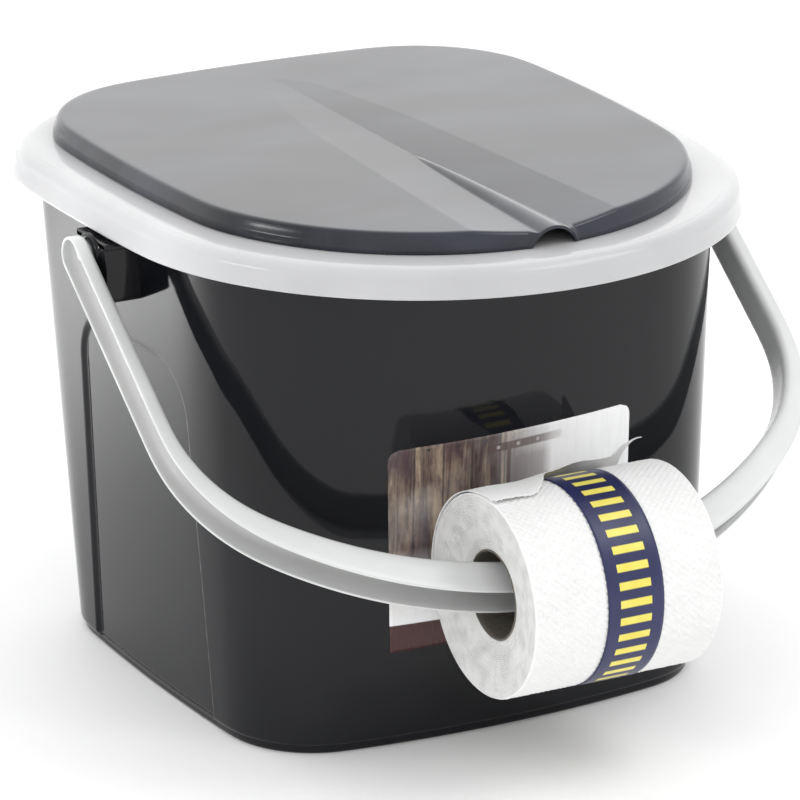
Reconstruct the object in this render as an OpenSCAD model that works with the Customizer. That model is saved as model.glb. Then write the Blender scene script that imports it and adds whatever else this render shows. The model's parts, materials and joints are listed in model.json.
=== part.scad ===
// Portable camp toilet: a lidded bucket with a seat ring and a bail that carries a paper roll.
// Millimetres. +Z is up, -Y is the front, +X is to the right as seen from the front.
// The origin is the centre of the bucket's underside, on the floor.

/* [Bucket] */
// Half the width of the foot
foot_half_width = 132.5; // [128:0.5:136]
// Half the depth of the foot
foot_half_depth = 130; // [126:0.5:134]
// Height of the foot rim below the body
foot_height = 5; // [3:0.5:8]
// How far the body stands out past the foot rim
foot_inset = 2; // [1:0.5:3]
// Half the width of the bucket's rim
rim_half_width = 151; // [148:0.5:154]
// Reach of the bucket's rim towards the front
rim_front = 140; // [138:0.5:141]
// Reach of the bucket's rim towards the back
rim_back = 163; // [158:0.5:166]
// Height of the bucket's rim above the floor
rim_height = 257.5; // [254:0.5:257.5]
// Thickness of the bucket's wall
wall = 2.8; // [2.4:0.1:3.4]
// Thickness of the bucket's floor
floor_thickness = 4; // [3:0.5:6]

/* [Side panels] */
// Half the width of a recessed side panel at its foot
panel_half_width = 68; // [64:1:72]
// Half the width of a recessed side panel at its shoulders
panel_top_half_width = 55; // [50:1:58]
// Height of a side panel
panel_height = 187; // [176:1:192]
// Depth of a side panel
panel_depth = 2.2; // [1.5:0.1:2.6]

/* [Bail bearings] */
// Height of the bail's pivot axis above the floor
pivot_height = 236; // [234:0.5:238]
// Position of the pivot axis in y, from the foot's centre
pivot_y = -4; // [-5:0.5:-3]
// Width of a bearing box
bearing_width = 33; // [30:1:36]
// Height of a bearing box
bearing_height = 30.5; // [28:0.5:30.5]
// Distance of a bearing box's outer face from the middle
bearing_reach = 167; // [166:0.5:168]
// Radius of the bail's pins
pin_radius = 6; // [5:0.1:7]
// Radial clearance of a pin in its bore
pin_clearance = 0.06; // [0.03:0.01:0.1]

/* [Seat] */
// Half the width of the seat
seat_half_width = 165; // [163.5:0.5:166]
// Reach of the seat towards the front
seat_front = 193; // [190:0.5:195]
// Reach of the seat towards the back
seat_back = 187.5; // [185:0.5:190]
// Height of the seat's skirt above the floor
skirt_height = 246.5; // [246:0.5:247]
// Height of the seat from skirt to top
seat_thickness = 14.5; // [14:0.5:16]
// Radius of the seat's rounded shoulder
shoulder_radius = 5; // [4:0.5:6]
// Distance of the seat's opening inside the lid's outline
opening_inset = 38; // [34:1:44]
// Depth of the lip around the seat's opening
lip_depth = 16; // [12:1:24]

/* [Lid] */
// Half the width of the lid
lid_half_width = 139.5; // [138:0.5:141]
// Reach of the lid towards the front
lid_front = 168; // [166:0.5:170]
// Reach of the lid towards the back
lid_back = 158.5; // [157:0.5:160]
// Height of the lid
lid_height = 10.5; // [10:0.5:12]
// Depth of the valley at the lid's front edge
valley_depth = 4; // [3:0.5:4.5]
// Radius of the finger tunnel's mouth
tunnel_radius = 13; // [12:0.5:14]
// Length of the finger tunnel
tunnel_length = 128; // [110:1:135]

/* [Bail] */
// Tilt of the bail below level while the roll leans on the bucket
bail_tilt = 37.3; // [37.1:0.1:37.5]
// Distance from the pivot axis to the outside of the bail's middle
bail_reach = 239; // [238.5:0.5:239.5]
// Half the width across the outsides of the arms
bail_half_width = 178.5; // [177:0.5:180]
// Length of the straight part of an arm
arm_length = 105; // [98:1:112]
// Width of the bail's section at its middle
bail_width = 19; // [17:0.5:19.5]
// Width of the bail's section along the arms
arm_width = 8.5; // [8:0.5:9.5]
// Thickness of the bail's section
bail_thickness = 19.5; // [17:0.5:20]
// Thickness of the bail's web and flanges
bail_skin = 2.4; // [2:0.1:3]

/* [Roll] */
// Radius of the paper roll
roll_radius = 51.5; // [46:0.5:51.5]
// Length of the paper roll
roll_length = 105; // [98:1:110]
// Outside radius of the cardboard core
core_radius = 22.3; // [22.2:0.1:23]
// Thickness of the cardboard core
core_thickness = 0.9; // [0.6:0.1:1]
// Position of the roll's axis in y, from the foot's centre
roll_y = -187.2; // [-187.6:0.1:-187.1]
// Height of the roll's axis above the floor
roll_height = 96.5; // [96.2:0.1:97]
// Position of the roll's middle along the bail
roll_x = 4; // [-5:0.5:5]
// Thickness of the loose tail sheet
tail_thickness = 0.5; // [0.3:0.1:0.6]
// Width of the paper band around the roll
band_width = 31; // [28:1:36]
// Thickness of the paper band around the roll
band_thickness = 0.3; // [0.2:0.1:0.4]

/* [Label] */
// Width of the front label
label_width = 138; // [120:1:144]
// Height of the front label
label_height = 106; // [90:1:110]
// Height of the label's lower edge above the floor
label_base = 54; // [50:1:66]
// Thickness of the label film
label_film = 0.3; // [0.2:0.1:0.4]

/* [Hidden] */

slice = 0.2;
bore_depth = 14;
bearing_root = 12;
panel_corner = 34;
panel_room = 20;
panel_backing = 1.4;
flange_reach = 3;
flange_height = 4;
skirt_wall = 3;
seat_plate = 3.5;
lid_skin = 2.2;
lid_edge_radius = 3.2;
locating_rib = 5;
label_corner = 6;
label_x = -3;
bearing_top = skirt_height - 0.6;
lid_base = skirt_height + seat_thickness;
lid_top = lid_base + lid_height;
tunnel_tip_radius = 1.5;
valley_back = 120;
valley_half_width = 41;
tunnel_sink = 3.6;
tunnel_skin = 1.6;
overrun = 12;
band_shift = 3;
tail_angle = 12;

dark = [0.10, 0.105, 0.12];
pale = [0.86, 0.87, 0.88];
paper = [0.95, 0.95, 0.94];

// Plan outlines: half width, front reach, back reach, y of the widest point,
// radii of the front, back and sides, radii of the front and back corners.
foot_plan = [foot_half_width, foot_half_depth, foot_half_depth, 0, 580, 580, 1230, 48, 48];
rim_plan = [rim_half_width, rim_front, rim_back, 9, 366, 405, 820, 81, 72];
seat_plan = [seat_half_width, seat_front, seat_back, 34, 166, 232, 1300, 147, 100];
lid_plan = [lid_half_width, lid_front, lid_back, 34, 139, 774, 979, 89, 73];
bail_plan = [bail_half_width, bail_reach - arm_length, 0, 0, 225, 0, 6000, 94, 0];
bail_inner_plan = [bail_half_width - arm_width, bail_reach - arm_length - bail_width, 0, 0,
                   225, 0, 6000, 78, 0];

// Points of an arc about centre c from angle a to angle b, without the last one.
function arc(c, r, a, b, n = 8) =
    [for (i = [0 : n - 1]) c + r * [cos(a + (b - a) * i / n), sin(a + (b - a) * i / n)]];

// A quarter outline from [0, reach] round to [half_width, 0] as three tangent arcs.
function quarter(half_width, reach, end_radius, side_radius, corner) =
    let (
        end_centre = [0, reach - end_radius],
        side_centre = [half_width - side_radius, 0],
        gap = side_centre - end_centre,
        span = norm(gap),
        end_gap = end_radius - corner,
        side_gap = side_radius - corner,
        along = (end_gap * end_gap - side_gap * side_gap + span * span) / (2 * span),
        across = sqrt(max(0, end_gap * end_gap - along * along)),
        unit = gap / span,
        corner_centre = end_centre + unit * along + [unit[1], -unit[0]] * across,
        from_end = corner_centre - end_centre,
        from_side = corner_centre - side_centre,
        first = atan2(from_end[1], from_end[0]),
        second = atan2(from_side[1], from_side[0])
    )
    concat(arc(end_centre, end_radius, 90, first),
           arc(corner_centre, corner, first, second),
           arc(side_centre, side_radius, second, 0, 5));

// Points in the opposite order, each multiplied by a pair of signs.
function turned(points, signs) =
    [for (i = [len(points) - 1 : -1 : 0]) [points[i][0] * signs[0], points[i][1] * signs[1]]];

// A closed outline, moved in by inset all round and set at its own place in y.
function outline(p, inset = 0) =
    let (
        back = quarter(p[0] - inset, p[2] - p[3] - inset, p[5] - inset, p[6] - inset, p[8] - inset),
        front = quarter(p[0] - inset, p[1] + p[3] - inset, p[4] - inset, p[6] - inset, p[7] - inset),
        right = concat(back, [[p[0] - inset, 0]], turned(front, [1, -1])),
        inner = [for (i = [1 : len(right) - 2]) right[i]]
    )
    [for (q = concat(right, turned(inner, [-1, 1]))) q + [0, p[3]]];

// The bail's outline in its own plane: straight arms up to the pivot, round below.
function bail_outline(p, inset = 0, past = 0) =
    let (
        front = quarter(p[0] - inset, p[1] - inset, p[4] - inset, p[6], p[7] - inset),
        right = concat([[p[0] - inset, arm_length + past], [p[0] - inset, 0]], turned(front, [1, -1])),
        inner = [for (i = [0 : len(right) - 2]) right[i]]
    )
    [for (q = concat(right, turned(inner, [-1, 1]))) q - [0, arm_length]];

// A panel outline, wide at the foot and rounded at the shoulders.
function panel_outline(low, high, height, corner) =
    concat([[-low, 0], [low, 0]],
           arc([high - corner, height - corner], corner, 0, 90),
           arc([corner - high, height - corner], corner, 90, 180),
           [[-high, height - corner]]);

module plate(p, inset, base, height) {
    translate([0, 0, base])
        linear_extrude(height)
            polygon(outline(p, inset));
}

// The bucket's tapered form, moved in from its outer face.
module taper(inset, base, top) {
    hull() {
        plate(foot_plan, inset - foot_inset, base, slice);
        plate(rim_plan, inset, top - slice, slice);
    }
}

// One side panel's block, reaching from a given depth in the wall outwards.
module panel_block(depth, grow) {
    lean = atan((rim_half_width - foot_half_width - foot_inset) / (rim_height - foot_height));
    translate([foot_half_width + foot_inset - depth, 0, foot_height - grow])
        rotate([0, lean, 0])
            rotate([90, 0, 90])
                linear_extrude(panel_room)
                    polygon(panel_outline(panel_half_width + grow, panel_top_half_width + grow,
                                          panel_height + 2 * grow, panel_corner));
}

module both_sides() {
    children();
    mirror([1, 0, 0])
        children();
}

module cavity() {
    difference() {
        taper(wall, foot_height, rim_height + 1);
        translate([-200, -200, 0])
            cube([400, 400, floor_thickness + foot_height]);
        both_sides()
            panel_block(panel_depth + wall + panel_backing, wall);
    }
}

// The box on the wall that a pin of the bail turns in.
module bearing() {
    translate([rim_half_width - bearing_root, pivot_y - bearing_width / 2, bearing_top - bearing_height])
        cube([bearing_reach - rim_half_width + bearing_root, bearing_width, bearing_height]);
}

module bucket() {
    color(dark)
        difference() {
            union() {
                plate(foot_plan, 0, 0, foot_height + slice);
                taper(0, foot_height, rim_height);
                plate(rim_plan, -flange_reach, rim_height - flange_height, flange_height);
                both_sides()
                    bearing();
            }
            cavity();
            both_sides() {
                panel_block(panel_depth, 0);
                translate([bearing_reach - bore_depth, pivot_y, pivot_height])
                    rotate([0, 90, 0])
                        cylinder(r = pin_radius + pin_clearance, h = bore_depth + 1, $fn = 64);
            }
        }
}

// The lid's outline moved in to the edge of the seat's opening.
module opening(grow, base, height) {
    plate(lid_plan, opening_inset - grow, base, height);
}

module seat() {
    shoulder_base = lid_base - shoulder_radius;
    color(pale)
        difference() {
            union() {
                difference() {
                    hull() {
                        plate(seat_plan, 0, skirt_height, slice);
                        for (a = [0 : 30 : 90])
                            plate(seat_plan, shoulder_radius * (1 - cos(a)),
                                  shoulder_base + shoulder_radius * sin(a) - slice, slice);
                    }
                    plate(seat_plan, skirt_wall, skirt_height - 1,
                          seat_thickness + 1 - seat_plate);
                }
                opening(3, lid_base - lip_depth, lip_depth);
            }
            opening(0, lid_base - lip_depth - 1, lip_depth + 2);
        }
}

// A sunk cone, from the finger tunnel's mouth at the front edge back to its tip.
module tunnel_cone(shrink, extra) {
    tip = lid_top - valley_depth * tunnel_length / (valley_back + lid_front) - tunnel_tip_radius;
    rise = atan((tip - lid_base + tunnel_sink) / tunnel_length);
    translate([0, -lid_front, lid_base - tunnel_sink])
        rotate([rise - 90, 0, 0])
            translate([0, 0, -extra])
                cylinder(r1 = tunnel_radius - shrink, r2 = tunnel_tip_radius,
                         h = tunnel_length + extra, $fn = 64);
}

// Half an ellipse from the lid's front edge back to the valley's end.
function tongue(half_width) =
    concat([[-half_width, -lid_front - overrun], [half_width, -lid_front - overrun]],
           [for (a = [0 : 9 : 180]) [half_width * cos(a), -lid_front + (lid_front + valley_back) * sin(a)]]);

// The shallow valley sunk in the lid's top: two flanks, deepest at the middle of its front edge.
module valley(drop) {
    translate([0, 0, lid_top - drop])
        hull() {
            linear_extrude(overrun)
                polygon(tongue(valley_half_width));
            translate([0, -lid_front - overrun, -valley_depth])
                cube([slice, slice, slice]);
        }
}

module lid_body() {
    hull() {
        plate(lid_plan, 0, lid_base, slice);
        for (a = [0 : 22.5 : 90])
            plate(lid_plan, lid_edge_radius * (1 - cos(a)),
                  lid_top - lid_edge_radius * (1 - sin(a)) - slice, slice);
    }
}

// The rib under the lid that sits inside the seat's opening.
module lid_rib() {
    difference() {
        opening(-1, lid_base - locating_rib, locating_rib + lid_height - lid_skin / 2);
        opening(-3, lid_base - locating_rib - 1, locating_rib + lid_height + 2);
    }
}

module lid() {
    color(dark)
        difference() {
            union() {
                difference() {
                    union() {
                        difference() {
                            lid_body();
                            difference() {
                                plate(lid_plan, lid_skin, lid_base - 1, lid_height + 1 - lid_skin);
                                valley(lid_skin);
                            }
                        }
                        lid_rib();
                    }
                    valley(0);
                }
                intersection() {
                    plate(lid_plan, 0, lid_base, lid_height);
                    tunnel_cone(0, 2);
                }
            }
            tunnel_cone(tunnel_skin, 4);
        }
}

// The bail's own plane: x across, -y away from the pivot, z square to the bail.
module bail_frame() {
    translate([0, pivot_y, pivot_height])
        rotate([bail_tilt, 0, 0])
            children();
}

// The band the bail's section lies in: flat sides and a round end at the pivot.
module bail_band(inset) {
    half = bail_thickness / 2 - inset;
    rotate([90, 0, 90])
        linear_extrude(3 * bail_half_width, center = true)
            polygon(concat([[-bail_reach - 20, -half]],
                           [for (a = [-90 : 15 : 90]) half * [cos(a), sin(a)]],
                           [[-bail_reach - 20, half]]));
}

// Everything outside the web of the bail's channel.
module channel() {
    linear_extrude(2 * bail_thickness, center = true)
        difference() {
            square([3 * bail_half_width, 3 * bail_reach], center = true);
            polygon(bail_outline(bail_inner_plan, -bail_skin, 2 * bail_reach));
        }
}

module pin() {
    translate([bearing_reach - bore_depth + 1, 0, 0])
        rotate([0, 90, 0])
            cylinder(r = pin_radius, h = bail_half_width - arm_width - bearing_reach + bore_depth, $fn = 64);
}

module bail() {
    color(pale)
        bail_frame() {
            intersection() {
                linear_extrude(2 * bail_thickness, center = true)
                    difference() {
                        polygon(bail_outline(bail_plan, 0, bail_thickness));
                        polygon(bail_outline(bail_inner_plan, 0, 2 * bail_thickness));
                    }
                difference() {
                    bail_band(0);
                    intersection() {
                        bail_band(bail_skin);
                        channel();
                    }
                }
            }
            both_sides()
                pin();
        }
}

// A ring about the roll's axis.
module ring(outer, inner, length, from_x) {
    translate([from_x, roll_y, roll_height])
        rotate([0, 90, 0])
            difference() {
                cylinder(r = outer, h = length, $fn = 96);
                translate([0, 0, -1])
                    cylinder(r = inner, h = length + 2, $fn = 96);
            }
}

module roll_core() {
    color([0.62, 0.52, 0.42])
        ring(core_radius, core_radius - core_thickness, roll_length, roll_x - roll_length / 2);
}

module roll_paper() {
    color(paper)
        ring(roll_radius - tail_thickness - band_thickness, core_radius, roll_length,
             roll_x - roll_length / 2);
}

module roll_band() {
    color([0.10, 0.12, 0.28])
        ring(roll_radius - tail_thickness, roll_radius - tail_thickness - band_thickness, band_width,
             roll_x + band_shift - band_width / 2);
}

// The end of the paper, lying loose over the top of the roll.
module roll_tail() {
    color(paper)
        intersection() {
            ring(roll_radius, roll_radius - tail_thickness, roll_length, roll_x - roll_length / 2);
            translate([roll_x - roll_length, roll_y, roll_height])
                rotate([tail_angle, 0, 0])
                    cube([2 * roll_length, 2 * roll_radius, 2 * roll_radius]);
        }
}

module label() {
    color([0.9, 0.9, 0.9])
        intersection() {
            difference() {
                taper(-label_film, foot_height, rim_height);
                taper(0, foot_height, rim_height);
            }
            translate([label_x, 0, label_base])
                rotate([90, 0, 0])
                    linear_extrude(200)
                        polygon(concat(
                            arc([label_width / 2 - label_corner, label_height - label_corner],
                                label_corner, 0, 90),
                            arc([label_corner - label_width / 2, label_height - label_corner],
                                label_corner, 90, 180),
                            [[-label_width / 2, 0], [label_width / 2, 0]]));
        }
}

bucket();
seat();
lid();
bail();
roll_core();
roll_paper();
roll_tail();
roll_band();
label();
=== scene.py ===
"""Camp toilet: the visible model around the CAD frame. Shapes are worked out in millimetres."""

import json
import math

import bpy
import numpy as np
from mathutils import Matrix, Vector


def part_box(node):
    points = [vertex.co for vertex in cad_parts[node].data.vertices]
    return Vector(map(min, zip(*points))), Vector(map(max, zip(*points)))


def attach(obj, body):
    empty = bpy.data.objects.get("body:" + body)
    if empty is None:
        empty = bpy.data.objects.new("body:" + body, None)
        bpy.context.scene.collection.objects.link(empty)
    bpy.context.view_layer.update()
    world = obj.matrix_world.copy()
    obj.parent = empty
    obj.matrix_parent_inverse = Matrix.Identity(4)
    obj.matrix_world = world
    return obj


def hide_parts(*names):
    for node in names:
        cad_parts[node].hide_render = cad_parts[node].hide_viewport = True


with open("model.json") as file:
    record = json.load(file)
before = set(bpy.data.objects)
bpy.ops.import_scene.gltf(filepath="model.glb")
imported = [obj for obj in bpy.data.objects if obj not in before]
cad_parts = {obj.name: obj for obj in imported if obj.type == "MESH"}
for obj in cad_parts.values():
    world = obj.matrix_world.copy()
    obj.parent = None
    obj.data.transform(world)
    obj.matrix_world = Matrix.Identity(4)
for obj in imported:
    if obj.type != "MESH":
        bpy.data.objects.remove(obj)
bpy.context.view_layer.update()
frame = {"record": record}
RNG = np.random.default_rng(7)
JOINTS = {j["name"]: j for j in frame["record"]["behaviour"]["joints"]}


def cad(node):
    """A CAD node's box as two arrays, in millimetres."""
    lo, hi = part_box(node)
    return np.array(lo) * 1000, np.array(hi) * 1000


_, BUCKET_HI = cad("bucket")
SEAT_LO, SEAT_HI = cad("seat")
LID_LO, LID_HI = cad("lid")
_, BAIL_HI = cad("bail")
ROLL_LO, ROLL_HI = cad("roll_core")
LABEL_LO, LABEL_HI = cad("label")
PIVOT = np.array(JOINTS["bail_swing"]["pos_m"]) * 1000
AXIS = np.array(JOINTS["roll_spin"]["pos_m"]) * 1000
_, ROLL_Y, ROLL_Z = JOINTS["roll_spin"]["pos_m"]
TURNS_PER_RADIAN = 1 / (2 * math.pi)


# ---------------------------------------------------------------- outlines


def arc(centre, radius, first, last, count=40):
    a = np.linspace(first, last, count, endpoint=False)
    return np.c_[centre[0] + radius * np.cos(a), centre[1] + radius * np.sin(a)]


def quarter(half_width, reach, end_radius, side_radius, corner):
    """A quarter outline from (0, reach) round to (half_width, 0) as three tangent arcs."""
    end = np.array([0, reach - end_radius], float)
    side = np.array([half_width - side_radius, 0], float)
    gap = side - end
    span = np.hypot(*gap)
    end_gap, side_gap = end_radius - corner, side_radius - corner
    along = (end_gap**2 - side_gap**2 + span**2) / (2 * span)
    across = math.sqrt(max(0, end_gap**2 - along**2))
    unit = gap / span
    mid = end + unit * along + np.array([unit[1], -unit[0]]) * across
    first = math.atan2(*(mid - end)[::-1])
    second = math.atan2(*(mid - side)[::-1])
    return np.r_[
        arc(end, end_radius, math.pi / 2, first),
        arc(mid, corner, first, second),
        arc(side, side_radius, second, 0, 20),
        [[half_width, 0]],
    ]


def full_outline(half_width, front, back, widest, radii, corners, side):
    """A closed plan outline, counterclockwise from the middle of the right side."""
    right_back = quarter(half_width, back - widest, radii[1], side, corners[1])[::-1]
    left_back = (right_back * [-1, 1])[::-1][1:]
    down = quarter(half_width, front + widest, radii[0], side, corners[0])[::-1] * [1, -1]
    left_front = (down * [-1, 1])[1:]
    right_front = down[::-1][1:-1]
    return np.r_[right_back, left_back, left_front, right_front] + [0, widest]


FINE_STEPS = 2880


def resample(points, weight, count, soften):
    """A closed outline at even steps, or finer where weight is larger, with its arcs blended."""
    loop = np.r_[points, points[:1]]
    run = np.r_[0, np.cumsum(np.hypot(*np.diff(loop, axis=0).T))]
    fine = np.linspace(0, run[-1], FINE_STEPS + 1)
    even = np.c_[np.interp(fine, run, loop[:, 0]), np.interp(fine, run, loop[:, 1])]
    step = run[-1] / FINE_STEPS
    half = int(3 * soften / step)
    kernel = np.exp(-0.5 * (np.arange(-half, half + 1) * step / soften) ** 2)
    kernel /= kernel.sum()
    base = even[:-1]
    wrapped = np.r_[base[-half:], base, base[:half]]
    soft = np.c_[[np.convolve(wrapped[:, k], kernel, "valid") for k in (0, 1)]].T
    soft = np.r_[soft, soft[:1]]
    dense = np.ones(FINE_STEPS + 1) if weight is None else weight(soft)
    total = np.r_[0, np.cumsum((dense[1:] + dense[:-1]) / 2)]
    want = np.linspace(0, total[-1], count, endpoint=False)
    where = np.interp(want, total, fine)
    return np.c_[np.interp(where, fine, soft[:, 0]), np.interp(where, fine, soft[:, 1])]


def normals(points):
    """The outward direction at each point of a closed outline."""
    ahead = np.roll(points, -1, 0) - np.roll(points, 1, 0)
    ahead /= np.hypot(*ahead.T)[:, None]
    return np.c_[ahead[:, 1], -ahead[:, 0]]


def smooth(x, lo, hi):
    """0 at lo and 1 at hi with a soft start and end; lo may be the larger."""
    t = np.clip((x - lo) / (hi - lo), 0, 1)
    return t * t * (3 - 2 * t)


# ------------------------------------------------------------------ meshes


def mesh(name, points, faces, slot, body, stands_for=(), material=None):
    data = bpy.data.meshes.new(name)
    data.from_pydata((np.asarray(points, float) / 1000).tolist(), [], faces)
    data.validate()
    data.update()
    data.shade_smooth()
    obj = bpy.data.objects.new(name, data)
    bpy.context.scene.collection.objects.link(obj)
    if material:
        data.materials.append(material)
    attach(obj, body)
    if stands_for:
        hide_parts(*stands_for)
    return obj


def grid_faces(rows, columns, start=0, closed=True, loop=False):
    """Quads between rows of points. closed joins each row's ends; loop joins last row to first."""
    i = np.arange(rows if loop else rows - 1)[:, None]
    j = np.arange(columns if closed else columns - 1)[None, :]
    k, m = (i + 1) % rows, (j + 1) % columns
    quads = np.stack([i * columns + j, i * columns + m, k * columns + m, k * columns + j], -1)
    return (quads.reshape(-1, 4) + start).tolist()


def loft(name, rings, slot, body, ends=(False, False), loop=False, flip=False, seam=(), **more):
    """A surface through rings of points, with its ends closed by a fan where asked.

    seam lists faces that close the first ring, and the same faces turned over close the last one.
    """
    rings = np.asarray(rings, float)
    rows, columns = rings.shape[:2]
    points = rings.reshape(-1, 3)
    faces = grid_faces(rows, columns, loop=loop)
    faces += [list(f) for f in seam]
    faces += [[(rows - 1) * columns + v for v in f[::-1]] for f in seam]
    turn = np.arange(columns)
    if ends[0]:
        centre = len(points)
        points = np.r_[points, [rings[0].mean(0)]]
        faces += [[centre, int((j + 1) % columns), int(j)] for j in turn]
    if ends[1]:
        centre = len(points)
        points = np.r_[points, [rings[-1].mean(0)]]
        base = (rows - 1) * columns
        faces += [[centre, int(base + j), int(base + (j + 1) % columns)] for j in turn]
    if flip:
        faces = [f[::-1] for f in faces]
    return mesh(name, points, faces, slot, body, **more)


def sheet_faces(rows, columns):
    """Faces of a thin closed sheet: a lower grid of points, an upper one, and the edge between."""
    size = rows * columns
    faces = [f[::-1] for f in grid_faces(rows, columns, closed=False)]
    faces += grid_faces(rows, columns, size, closed=False)
    rim = [*range(columns), *range(2 * columns - 1, size, columns),
           *range(size - 2, size - columns - 1, -1), *range(size - 2 * columns, 0, -columns)]
    return faces + [[a, b, b + size, a + size] for a, b in zip(rim, rim[1:] + rim[:1])]


def flat_ring(points, z):
    return np.c_[points, np.broadcast_to(z, len(points))]


# --------------------------------------------------------------- materials


class Shader:
    """A small helper around one material's node tree."""

    def __init__(self, name):
        self.material = bpy.data.materials.new(name)
        self.material.use_nodes = True
        self.tree = self.material.node_tree
        self.bsdf = self.tree.nodes["Principled BSDF"]
        self.place = self.add("ShaderNodeTexCoord").outputs["Object"]

    def add(self, kind, **values):
        node = self.tree.nodes.new(kind)
        for key, value in values.items():
            if hasattr(node, key):
                setattr(node, key, value)
            else:
                node.inputs[key].default_value = value
        return node

    def link(self, source, target):
        self.tree.links.new(source, target)

    def feed(self, target, value):
        if isinstance(value, bpy.types.NodeSocket):
            self.link(value, target)
        else:
            target.default_value = value

    def set(self, **values):
        for key, value in values.items():
            self.feed(self.bsdf.inputs[key.replace("_", " ")], value)

    def stretch(self, scale):
        node = self.add("ShaderNodeMapping")
        node.inputs["Scale"].default_value = scale
        self.link(self.place, node.inputs["Vector"])
        return node.outputs["Vector"]

    def noise(self, scale, detail=3.0, rough=0.5, place=None, distort=0.0):
        node = self.add("ShaderNodeTexNoise")
        node.inputs["Scale"].default_value = scale
        node.inputs["Detail"].default_value = detail
        node.inputs["Roughness"].default_value = rough
        node.inputs["Distortion"].default_value = distort
        self.link(place or self.place, node.inputs["Vector"])
        return node.outputs["Fac"]

    def spots(self, scale, place=None):
        node = self.add("ShaderNodeTexVoronoi")
        node.inputs["Scale"].default_value = scale
        self.link(place or self.place, node.inputs["Vector"])
        return node.outputs["Distance"]

    def span(self, value, low, high, new_low=0.0, new_high=1.0):
        node = self.add("ShaderNodeMapRange")
        self.feed(node.inputs["Value"], value)
        limits = {"From Min": low, "From Max": high, "To Min": new_low, "To Max": new_high}
        for key, number in limits.items():
            node.inputs[key].default_value = number
        return node.outputs["Result"]

    def maths(self, operation, a, b=0.0):
        node = self.add("ShaderNodeMath", operation=operation)
        self.feed(node.inputs[0], a)
        self.feed(node.inputs[1], b)
        return node.outputs[0]

    def mix(self, factor, a, b):
        node = self.add("ShaderNodeMix", data_type="RGBA")
        self.feed(node.inputs["Factor"], factor)
        for key, value in ((6, a), (7, b)):
            linked = isinstance(value, bpy.types.NodeSocket)
            self.feed(node.inputs[key], value if linked else (*value[:3], 1))
        return node.outputs[2]

    def split(self):
        node = self.add("ShaderNodeSeparateXYZ")
        self.link(self.place, node.inputs[0])
        return node.outputs

    def bump(self, height, distance, strength=1.0, below=None):
        node = self.add("ShaderNodeBump")
        node.inputs["Strength"].default_value = strength
        node.inputs["Distance"].default_value = distance
        self.link(height, node.inputs["Height"])
        if below is not None:
            self.link(below, node.inputs["Normal"])
        return node.outputs["Normal"]

    def edges(self):
        """1 along sharp outer edges, 0 elsewhere."""
        point = self.add("ShaderNodeNewGeometry").outputs["Pointiness"]
        return self.span(point, 0.52, 0.62)


MOULD_GRAIN = 0.00002
MOULD_WAVE = 0.0008
DARK_TONE = 0.3


def plastic(name, colour, rough, worn, streak=None, specks=0.25, ior=1.5, sub=0.0):
    """Moulded plastic: soft tone variation, flow streaks, specks of dust, worn edges.

    streak is the streaks' scale, their stretch and the factor on the colour.
    """
    s = Shader(name)
    tone = np.array(colour)
    base = s.mix(s.span(s.noise(9, 4), 0.35, 0.65), tone * 0.93, tone * 1.07)
    if streak:
        scale, stretch, factor = streak
        flow = s.noise(scale, 5, 0.6, s.stretch(stretch), 0.6)
        base = s.mix(s.span(flow, 0.45, 0.62, 0, 0.35), base, tone * factor)
    dust = s.span(s.spots(420), 0.035, 0.02)
    rare = s.span(s.noise(60, 1), 0.60, 0.66)
    dust = s.maths("MULTIPLY", dust, s.maths("MULTIPLY", rare, specks))
    base = s.mix(dust, base, (0.55, 0.55, 0.55) if tone.max() < DARK_TONE else (0.25, 0.25, 0.25))
    edge = s.maths("MULTIPLY", s.edges(), s.span(s.noise(140, 3), 0.4, 0.7))
    base = s.mix(s.maths("MULTIPLY", edge, 0.35), base, worn)
    scuff = s.span(s.noise(30, 6, 0.7, s.stretch((1, 1, 6))), 0.5, 0.8, 0, 0.05)
    grime = s.span(s.noise(14, 4), 0.3, 0.7, rough * 0.8, rough * 1.25)
    s.set(Base_Color=base, Roughness=s.maths("ADD", grime, scuff))
    skin = s.bump(s.noise(7, 2), MOULD_WAVE)
    s.set(Normal=s.bump(s.noise(900, 2), MOULD_GRAIN, 0.6, skin))
    s.bsdf.inputs["IOR"].default_value = ior
    s.bsdf.inputs["Subsurface Weight"].default_value = sub
    if sub:
        s.bsdf.inputs["Subsurface Radius"].default_value = (0.004, 0.004, 0.004)
        s.bsdf.inputs["Subsurface Scale"].default_value = 1.0
    return s.material


BUCKET_SKIN = plastic("bucket_plastic", (0.0062, 0.0066, 0.0085), 0.05, (0.05, 0.05, 0.055), ior=1.35)
LID_SKIN = plastic("lid_plastic", (0.012, 0.013, 0.0175), 0.15, (0.06, 0.06, 0.07),
                   streak=(5, (1, 2.5, 1), 6.0), ior=1.42)
SEAT_SKIN = plastic("seat_plastic", (0.53, 0.532, 0.54), 0.12, (0.7, 0.7, 0.7),
                    specks=0.3, ior=1.38, sub=0.08)
BAIL_SKIN = plastic("bail_plastic", (0.64, 0.65, 0.645), 0.22, (0.72, 0.72, 0.72),
                    streak=(12, (1, 1, 3), 1.12), sub=0.05)
# A darker copy of the bail's plastic: painted shade for the faces in the channel's recess.
BAIL_RECESS_SHADE = plastic("bail_plastic_recess_shade", (0.47, 0.475, 0.47), 0.22, (0.52, 0.52, 0.52),
                      streak=(12, (1, 1, 3), 1.12), sub=0.05)


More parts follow.
